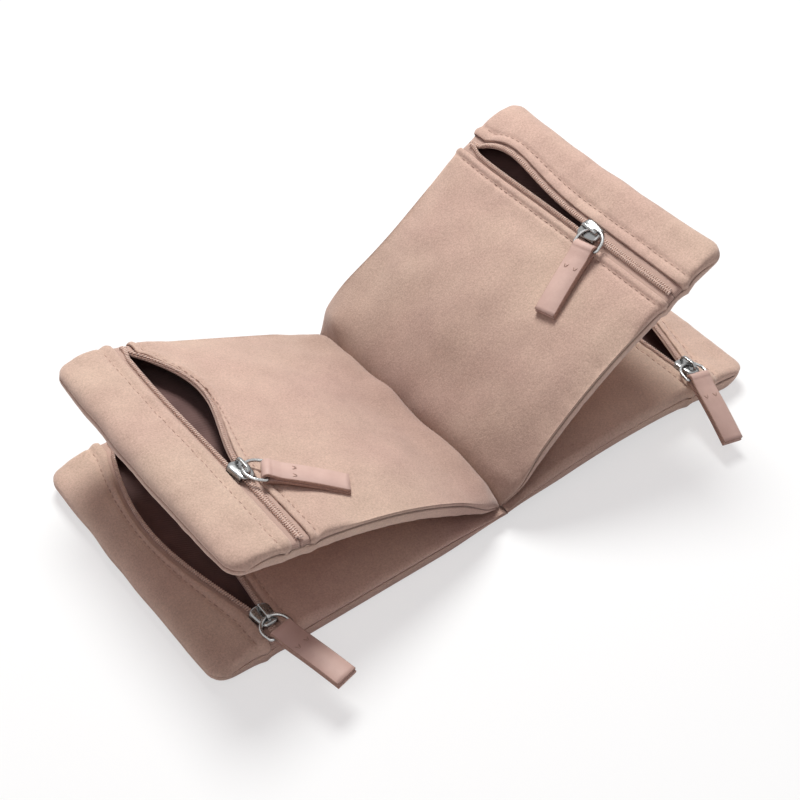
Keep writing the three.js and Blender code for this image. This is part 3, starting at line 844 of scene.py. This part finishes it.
# Lining bag, open at the mouth
def lining_bag(leaf):
    reach = SIDE - LINING_IN
    upper_steps, lower_steps, end_steps = LINING_STEPS

    def path_at(y):
        inset = reach - abs(y)

        def level(s, face):
            room = EDGE + (HALF - EDGE) * leaf.fill(s, y) - LINING_GAP
            return leaf.seam_at(s, y) + face * max(room * bulge(inset / LINING_ROUND), 0)

        inner = leaf.lip_edge(y, "inner") - LINING_LIP
        outer = min(leaf.lip_edge(y, "outer") + LINING_LIP, leaf.outer_edge(y) - LINING_LIP_END)
        end = leaf.outer_edge(y) - LINING_END
        lift = leaf.lift["inner"] * leaf.gape(y)
        path = [(s, level(s, 1) + lift * ease(1 - (inner - s) / LINING_LIFT_RUN))
                for s in spread(inner, LINING_SPINE, upper_steps)]
        path.append((LINING_SPINE - LINING_SPINE_TURN, 0.0))
        for s in spread(LINING_SPINE, end, lower_steps):
            seam = LINING_SEAM * bell(s - ZIP_AT - LINING_SEAM_AT, LINING_SEAM_WIDTH)
            at = Vector((s / LINING_CREASE_LENGTH[0], y / LINING_CREASE_LENGTH[1], leaf.seed))
            crease = LINING_CREASE * noise.noise(at) * ease(inset / LINING_CREASE_FADE)
            path.append((s, level(s, -1) + seam * ease(inset / LINING_SEAM_FADE) + crease))
        path.append((end + LINING_END_TURN, leaf.seam_at(end, y)))
        path += [(s, level(s, 1)) for s in spread(end, outer, end_steps)]
        return path

    rows = [y for y in ROWS if abs(y) <= reach]
    points = [leaf.place(s, y, h) for y in rows for s, h in path_at(y)]
    columns = len(points) // len(rows)
    faces = grid_faces(len(rows), columns)
    piece = new_object(f"{leaf.name}_lining_bag", points, faces, [LINING])
    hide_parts(f"{leaf.name}_lining")
    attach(piece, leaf.name)


# Zip tape and coil
def zip_tape(leaf, lip):
    out = OUT[lip]
    reach = 1 - TAPE_END_IN / SIDE
    rows = [(-SIDE + SEAM_TUCK, True)] + [(y * reach, False) for y in ROWS] + [(SIDE - SEAM_TUCK, True)]
    points = []
    for y, tucked in rows:
        free = ZIP_AT + out * (leaf.coil_offset(y, lip) + TAPE_FREE)
        edge = leaf.lip_edge(y, lip)
        room = leaf.outer_edge(y) - END_STOP - edge if lip == "outer" else TAPE_UNDER
        under = edge + out * min(TAPE_UNDER, max(room, TAPE_LEAST))
        middle, half = leaf.zip_level(y, lip), TAPE_HALF
        if tucked:
            middle, half = leaf.seam_at(edge, SIDE) - EDGE + TAPE_TUCKED, TAPE_TUCKED
        across = [(s, middle) for s in spread(free, edge, TAPE_STEPS)]
        across.append((under, min(middle, leaf.top(under, y, lip) - TAPE_DEPTH - LIP_FOLD)))
        loop = [(s, h + half) for s, h in across] + [(s, h - half) for s, h in across[::-1]]
        points += [leaf.place(s, y, h) for s, h in loop]
    faces = tube_faces(len(rows), len(loop))
    piece = new_object(f"{leaf.name}_tape_{lip}", points, faces, [TAPE])
    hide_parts(f"{leaf.name}_zip_tape_{lip}")
    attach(piece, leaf.name)


# Each tooth is a short rounded bar across the tape: reach from its tip, half width, share of the height
TOOTH_STATIONS = [(0.0, 0.18, 0.26), (0.22, 0.31, 0.46), (0.7, 0.30, 0.5), (1.25, 0.29, 0.44),
                  (1.65, 0.24, 0.24)]


def zip_coil(leaf, lip):
    out = OUT[lip]
    shift = 0.0 if lip == "inner" else TOOTH_PITCH / 2
    first = -(SIDE - TAPE_END_IN - COIL_END)
    count = int(-2 * first / TOOTH_PITCH)
    points, faces = [], []
    for i in range(count):
        y = first + shift + TOOTH_PITCH * i
        closed = 1 - leaf.parted(y) / COIL_SPREAD
        offset = leaf.coil_offset(y, lip) + TAPE_FREE - COIL_MESH * closed
        middle = leaf.zip_level(y, lip) + COIL_BASE + COIL_HEIGHT / 2
        start = len(points)
        for reach, half_y, share in TOOTH_STATIONS:
            s = ZIP_AT + out * (offset + reach)
            for k in range(TOOTH_SIDES):
                a = 2 * math.pi * k / TOOTH_SIDES
                h = middle + COIL_HEIGHT * share * math.sin(a)
                points.append(leaf.place(s, y + half_y * math.cos(a), h))
        faces += tube_faces(len(TOOTH_STATIONS), TOOTH_SIDES, start)
    piece = new_object(f"{leaf.name}_coil_{lip}", points, faces, [COIL])
    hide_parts(f"{leaf.name}_zip_coil_{lip}")
    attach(piece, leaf.name)


# Rings of a stitch: place from end to end, and share of the thread's radius
STITCH_RINGS = [(-1, 0.35), (-0.7, 0.9), (0, 1.0), (0.7, 0.9), (1, 0.35)]


# Topstitching beside the zip
def stitch_points(middle, along, up, length, radius):
    across = along.cross(up)
    rings = []
    for t, size in STITCH_RINGS:
        centre = middle + along * (length / 2 * t) - up * (radius * STITCH_SINK * t * t)
        for k in range(STITCH_SIDES):
            a = 2 * math.pi * k / STITCH_SIDES
            rings.append(centre + (across * math.cos(a) + up * math.sin(a)) * radius * size)
    return rings


def topstitch(leaf, lip):
    def on_cloth(y):
        s = leaf.stitch_line(y, lip)
        return leaf.place(s, y, leaf.top(s, y, lip) + STITCH_PROUD)

    points, faces = [], []
    for i in range(int((2 * SIDE - STITCH_MARGIN) / STITCH_PITCH)):
        y = -SIDE + STITCH_START + STITCH_PITCH * i
        s = leaf.stitch_line(y, lip)
        if leaf.outer_edge(y) - s < STITCH_CLEAR:
            continue
        along = (on_cloth(y + STITCH_STEP) - on_cloth(y - STITCH_STEP)).normalized()
        up = (leaf.place(s, y, 1) - leaf.place(s, y, 0)).normalized()
        faces += tube_faces(len(STITCH_RINGS), STITCH_SIDES, len(points))
        points += stitch_points(on_cloth(y), along, up, STITCH_LENGTH * MM, THREAD * MM)
    piece = new_object(f"{leaf.name}_topstitch_{lip}", points, faces, [THREAD_MATERIAL])
    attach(piece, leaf.name)


# Frames of the slider, ring and tab, as in the solids
def zip_frame(leaf):
    where = leaf.place(ZIP_AT, leaf.slider_y, HALF - TAPE_DEPTH)
    where.x *= leaf.side
    turn = Matrix.Rotation(-leaf.angle(ZIP_AT), 4, "Y")
    return Matrix.Diagonal((leaf.side, 1, 1, 1)) @ Matrix.Translation(where) @ turn


def ring_frame(leaf):
    turn = math.radians(leaf.pull["ring"])
    tilt = math.radians(leaf.pull["ring_tilt"])
    place = Matrix.Translation(Vector((0, -leaf.pull["forward"], SLIDER_TOP + BRIDGE_WINDOW / 2)) * MM)
    return zip_frame(leaf) @ place @ Matrix.Rotation(-turn, 4, "Z") @ Matrix.Rotation(tilt, 4, "X")


def pull_direction(leaf):
    turn = math.radians(leaf.pull["tab"] - leaf.pull["ring"])
    return Vector((-math.sin(turn), -math.cos(turn), 0))


def tab_frame(leaf):
    away = pull_direction(leaf)
    place = Matrix.Translation((Vector((0, -RING_RADIUS, 0)) + away * RING_REACH) * MM)
    turn = Matrix.Rotation(math.atan2(away.y, away.x), 4, "Z")
    tilt = Matrix.Rotation(math.radians(leaf.pull["tab_tilt"]), 4, "Y")
    return ring_frame(leaf) @ place @ turn @ tilt


# Slider: a domed and a flat plate joined by a post, two side rails and a bridge for the ring
def squared(value, power):
    """Sine or cosine raised to a power below 1, which squares up a round outline."""
    return math.copysign(abs(value) ** power, value)


def plate_width(y):
    """Half the width of a plate, from its narrow tail to its shoulders."""
    t = y / SLIDER_LENGTH + 0.5
    return (SLIDER_TAIL + (SLIDER_SHOULDER - SLIDER_TAIL) * ease(t)) / 2


def plate(layers, points, faces):
    """Stack of rounded outlines, each at a height and drawn in by an inset."""
    start = len(points)
    for z, inset in layers:
        for k in range(PLATE_SIDES):
            a = 2 * math.pi * k / PLATE_SIDES
            along = squared(math.sin(a), PLATE_SQUARE) * (SLIDER_LENGTH / 2 - inset)
            across = squared(math.cos(a), PLATE_SQUARE) * (plate_width(along) - inset)
            points.append(Vector((across, along, z)))
    faces += tube_faces(len(layers), PLATE_SIDES, start)


def strap(path, section, points, faces):
    """Bar with a given section along a path in the plane x = constant."""
    start = len(points)
    for i, (x, y, z) in enumerate(path):
        before = path[max(i - 1, 0)]
        after = path[min(i + 1, len(path) - 1)]
        along = Vector((0, after[1] - before[1], after[2] - before[2])).normalized()
        up = Vector((0, -along.z, along.y))
        points += [Vector((x, y, z)) + Vector((across, 0, 0)) + up * off for across, off in section]
    faces += tube_faces(len(path), len(section), start)


def rounded_section(width, height, corner):
    outline = []
    for middle, side_x, side_z in ((0, 1, 1), (90, -1, 1), (180, -1, -1), (270, 1, -1)):
        for step in (0, 45, 90):
            a = math.radians(middle + step)
            outline.append((side_x * (width / 2 - corner) + corner * math.cos(a),
                            side_z * (height / 2 - corner) + corner * math.sin(a)))
    return outline


def slider_body(leaf):
    points, faces = [], []
    roof = [(CHANNEL_ROOF, 0.25), (CHANNEL_ROOF + 0.1, 0.05), (CHANNEL_ROOF + 0.35, 0),
            (SLIDER_TOP - 0.3, 0.08), (SLIDER_TOP - 0.08, 0.3), (SLIDER_TOP + 0.08, 0.9),
            (SLIDER_TOP + 0.2, 1.7), (SLIDER_TOP + 0.26, 2.6)]
    plate(roof, points, faces)
    underside = CHANNEL_FLOOR - SLIDER_PLATE
    sole = [(underside, 0.6), (underside + 0.15, 0.15), (CHANNEL_FLOOR - 0.4, 0),
            (CHANNEL_FLOOR - 0.1, 0.05), (CHANNEL_FLOOR, 0.25)]
    plate(sole, points, faces)
    reach = SLIDER_LENGTH / 2 - RAIL_SETBACK
    foot = TAPE_HALF + RAIL_CLEAR
    head = CHANNEL_ROOF + RAIL_SUNK
    rail = rounded_section(RAIL_WIDTH, head - foot, RAIL_CORNER)
    for side in (-1, 1):
        path = [(side * (plate_width(y) - RAIL_IN), y, (foot + head) / 2)
                for y in spread(-reach, reach, RAIL_STEPS)]
        strap(path, rail, points, faces)
    post_at = SLIDER_LENGTH / 2 - POST_SETBACK
    post = [(0, post_at, z) for z in spread(CHANNEL_FLOOR - POST_SUNK, CHANNEL_ROOF + POST_SUNK, 2)]
    strap(post, rounded_section(*POST_SECTION), points, faces)
    bridge_foot = SLIDER_TOP - BRIDGE_SUNK
    bridge_height = BRIDGE_WINDOW + BRIDGE_BAR / 2 + BRIDGE_SUNK
    bridge = []
    for a in spread(0, math.pi, BRIDGE_STEPS):
        y = squared(math.cos(a), BRIDGE_SQUARE[0]) * (BRIDGE_LENGTH - BRIDGE_BAR) / 2
        bridge.append((0, y, bridge_foot + bridge_height * math.sin(a) ** BRIDGE_SQUARE[1]))
    strap(bridge, rounded_section(BRIDGE_WIDTH, BRIDGE_BAR, BRIDGE_CORNER), points, faces)
    at = zip_frame(leaf)
    placed = [at @ (point * MM) for point in points]
    piece = new_object(f"{leaf.name}_slider_body", placed, faces, [SLIDER_METAL])
    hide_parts(f"{leaf.name}_slider")
    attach(piece, f"{leaf.name}_slider")


# Ring: half a circle, two short legs and a straight bar for the tab
def pull_ring(leaf):
    away = pull_direction(leaf)
    across = Vector((-away.y, away.x, 0))
    centre = Vector((0, -RING_RADIUS, 0))
    arc = spread(0, math.pi, RING_STEPS)
    path = [(RING_RADIUS * math.cos(a), -RING_RADIUS * math.sin(a)) for a in arc]
    for side in (-1, 1):
        turn = spread(0, math.pi / 2, CORNER_STEPS)
        for a in turn if side < 0 else turn[::-1]:
            x = RING_RADIUS - RING_CORNER + RING_CORNER * math.cos(a)
            path.append((side * x, RING_REACH - RING_CORNER + RING_CORNER * math.sin(a)))
    loop = [centre + across * a + away * b for a, b in path]
    at = ring_frame(leaf)
    points = []
    for i, point in enumerate(loop):
        along = (loop[(i + 1) % len(loop)] - loop[i - 1]).normalized()
        outward = Vector((along.y, -along.x, 0))
        for k in range(WIRE_SIDES):
            a = 2 * math.pi * k / WIRE_SIDES
            offset = outward * math.cos(a) + Vector((0, 0, math.sin(a)))
            points.append(at @ ((point + offset * RING_WIRE / 2) * MM))
    faces = tube_faces(len(loop), WIRE_SIDES, looped=True)
    piece = new_object(f"{leaf.name}_ring_wire", points, faces, [RING_METAL])
    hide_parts(f"{leaf.name}_pull_ring")
    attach(piece, f"{leaf.name}_pull_ring")


# Leather pull: one strip folded round the bar, tacked together beyond the fold
def pull_path():
    """Middle line of the strip: lower layer, round the bar, upper layer."""
    wrap = RING_WIRE / 2 + LOOP_CLEAR + LEATHER / 2
    half = LEATHER / 2 + LEATHER_GAP
    lower = [(x, -half) for x in spread(TAB_LENGTH, TAB_CLOSE, TAB_STEPS)]
    upper = [(x, half) for x in spread(TAB_CLOSE, TAB_LENGTH - TAB_STAGGER, TAB_STEPS)]
    start = math.radians(LOOP_MOUTH)
    turns = spread(-start, start - 2 * math.pi, LOOP_STEPS)
    loop = [(wrap * math.cos(a), wrap * math.sin(a)) for a in turns]
    neck = []
    for t in spread(0, 1, NECK_STEPS)[1:-1]:
        x = TAB_CLOSE + (loop[0][0] - TAB_CLOSE) * t
        neck.append((x, -half + (loop[0][1] + half) * ease(t)))
    return lower + neck + loop + [(x, -z) for x, z in neck[::-1]] + upper


def pull_sag(x):
    """The strip lies in a shallow arch."""
    return TAB_SAG * math.sin(math.pi * max(x, 0) / TAB_LENGTH)


def drape(piece, leaf):
    """A pull that hangs over the side gets a mesh of its own; it is not moved onto the pouch."""
    if leaf.pull["tab_tilt"] < HANGING_TILT:
        return
    axis = zip_frame(leaf).to_3x3() @ Vector((0, 0, 1))
    tab_frame(leaf).translation
    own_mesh(piece)


def pull_tab(leaf):
    path = [Vector((x, 0, z)) for x, z in pull_path()]
    at = tab_frame(leaf)
    wide, thick = TAB_WIDTH / 2, LEATHER / 2
    flat, tall = wide - LEATHER_SOFT, thick - LEATHER_SOFT
    section = [(-wide, -tall), (-flat, -thick), (flat, -thick), (wide, -tall),
               (wide, tall), (flat, thick), (-flat, thick), (-wide, tall)]
    points = []
    for i, point in enumerate(path):
        before = path[max(i - 1, 0)]
        after = path[min(i + 1, len(path) - 1)]
        along = (after - before).normalized()
        up = Vector((-along.z, 0, along.x))
        for across, off in section:
            corner = point + Vector((0, across, 0)) + up * off
            corner.z += pull_sag(corner.x)
            points.append(at @ (corner * MM))
    sides = len(section)
    faces = tube_faces(len(path), sides)
    piece = new_object(f"{leaf.name}_leather", points, faces, [PULL_LEATHER, PULL_EDGE])
    cut_sides = {0, 2, 3, 4, 6, 7}  # every side of the section but its two broad faces
    for index, polygon in enumerate(piece.data.polygons):
        if index % sides in cut_sides or index >= (len(path) - 1) * sides:
            polygon.material_index = 1
    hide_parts(f"{leaf.name}_pull_tab")
    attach(piece, f"{leaf.name}_pull_tab")
    drape(piece, leaf)


# Tack that holds the two layers, two small V's: place across the pull and lean of each stitch
TACK_STITCHES = [(-2.5, 0.5), (-1.55, -0.5), (1.55, 0.5), (2.5, -0.5)]


def pull_tack(leaf):
    at = tab_frame(leaf)
    level = LEATHER + TACK_PROUD + pull_sag(TACK_AT)
    up = Vector((0, 0, 1))
    points, faces = [], []
    for y, lean in TACK_STITCHES:
        along = Vector((1, lean, 0)).normalized()
        stitch = stitch_points(Vector((TACK_AT, y, level)), along, up, TACK_LENGTH, TACK_THREAD)
        faces += tube_faces(len(STITCH_RINGS), STITCH_SIDES, len(points))
        points += [at @ (point * MM) for point in stitch]
    piece = new_object(f"{leaf.name}_tack", points, faces, [THREAD_MATERIAL])
    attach(piece, f"{leaf.name}_pull_tab")
    drape(piece, leaf)


# Spine: the sewn stack of cloth under the crease
def spine_bind():
    round_steps, length_steps = BIND_STEPS
    outline = []
    for a in spread(0, math.pi, round_steps):
        outline.append((BIND_RADIUS * math.cos(a), SPINE_Z + BIND_TOP + BIND_RADIUS * math.sin(a)))
    outline += [(-x, z) for x, z in BIND_FOOT] + BIND_FOOT[::-1]
    reach = SIDE - BIND_IN
    rows = spread(-reach, reach, length_steps)
    points = []
    for y in rows:
        full = BIND_LOW + (1 - BIND_LOW) * ease((reach - abs(y)) / BIND_TAPER)
        points += [Vector((x, y, BIND_END + (z - BIND_END) * full)) * MM for x, z in outline]
    faces = tube_faces(len(rows), len(outline))
    piece = new_object("spine_bind", points, faces, [SUEDE])
    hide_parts("spine_seam")
    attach(piece, "lower_left")


spine_bind()
for leaf in LEAVES:
    front_cloth(leaf)
    end_cloth(leaf)
    back_cloth(leaf)
    lining_bag(leaf)
    for lip in ("inner", "outer"):
        zip_tape(leaf, lip)
        zip_coil(leaf, lip)
        topstitch(leaf, lip)
    slider_body(leaf)
    pull_ring(leaf)
    pull_tab(leaf)
    pull_tack(leaf)


# Floor, light and camera
def backdrop_rays(tree):
    """1 for rays that see the backdrop itself or its mirror image, 0 for those that carry its light."""
    path = tree.nodes.new("ShaderNodeLightPath")
    seen = path.outputs["Is Camera Ray"]
    for ray in ("Is Glossy Ray", "Is Transmission Ray"):
        seen = math_node(tree, "MAXIMUM", seen, path.outputs[ray])
    return seen


def floor():
    """Plain white floor; far from the object it fades to the white of the backdrop."""
    mesh = bpy.data.meshes.new("floor")
    corners = [(-1, -1), (1, -1), (1, 1), (-1, 1)]
    points = [(x * FLOOR_REACH, y * FLOOR_REACH, FLOOR_Z) for x, y in corners]
    mesh.from_pydata(points, [], [(0, 1, 2, 3)])
    material, tree, shader = new_material("floor", (0.90, 0.90, 0.895), 0.8)
    shader.inputs["Specular IOR Level"].default_value = 0.1
    distance = tree.nodes.new("ShaderNodeVectorMath")
    distance.operation = "LENGTH"
    tree.links.new(place_in_metres(tree), distance.inputs[0])
    far = add_node(tree, "ShaderNodeMapRange", From_Min=0.20, From_Max=0.50, To_Min=0.6)
    far.interpolation_type = "SMOOTHSTEP"
    tree.links.new(distance.outputs["Value"], far.inputs["Value"])
    share = math_node(tree, "MULTIPLY", far.outputs["Result"], backdrop_rays(tree))
    white = add_node(tree, "ShaderNodeEmission", Color=(1, 1, 1, 1), Strength=1.0)
    mix_into(tree, "Material Output", share, shader.outputs["BSDF"], white.outputs["Emission"])
    mesh.materials.append(material)
    piece = link_object("floor", mesh)


def area_light(name, where, power, size, color):
    light = bpy.data.lights.new(name, "AREA")
    light.shape = "DISK"
    light.energy = power
    light.size = size
    light.color = color
    lamp = link_object(name, light)
    lamp.location = where
    lamp.rotation_euler = (LIGHT_AIM - Vector(where)).to_track_quat("-Z", "Y").to_euler()


def studio():
    """Rosy soft light from all round; the camera and the metal see a white backdrop instead."""
    world = bpy.data.worlds.new("studio")
    world.use_nodes = True
    tree = world.node_tree
    ambient = tree.nodes["Background"]
    ambient.inputs["Color"].default_value = (1.0, 0.81, 0.88, 1)
    ambient.inputs["Strength"].default_value = 0.22
    backdrop = add_node(tree, "ShaderNodeBackground", Color=(1, 1, 1, 1), Strength=1.0)
    mix_into(tree, "World Output", backdrop_rays(tree), ambient.outputs["Background"],
             backdrop.outputs["Background"])
    bpy.context.scene.world = world
    area_light("key", (0.20, 0.40, 0.87), power=10.9, size=0.42, color=(0.975, 1.0, 0.985))
    area_light("fill", (-0.6, -0.5, 1.1), power=2.0, size=0.8, color=(1.0, 0.97, 0.96))


def camera():
    data = bpy.data.cameras.new("camera")
    data.lens = CAMERA_LENS
    data.sensor_width = 36
    data.clip_start = 0.01
    lens = link_object("camera", data)
    lens.location = CAMERA_TARGET + CAMERA_BACK * CAMERA_DISTANCE
    lens.rotation_euler = (-CAMERA_BACK).to_track_quat("-Z", "Y").to_euler()
    bpy.context.scene.camera = lens


floor()
studio()
camera()
bpy.context.scene.view_settings.view_transform = "Standard"
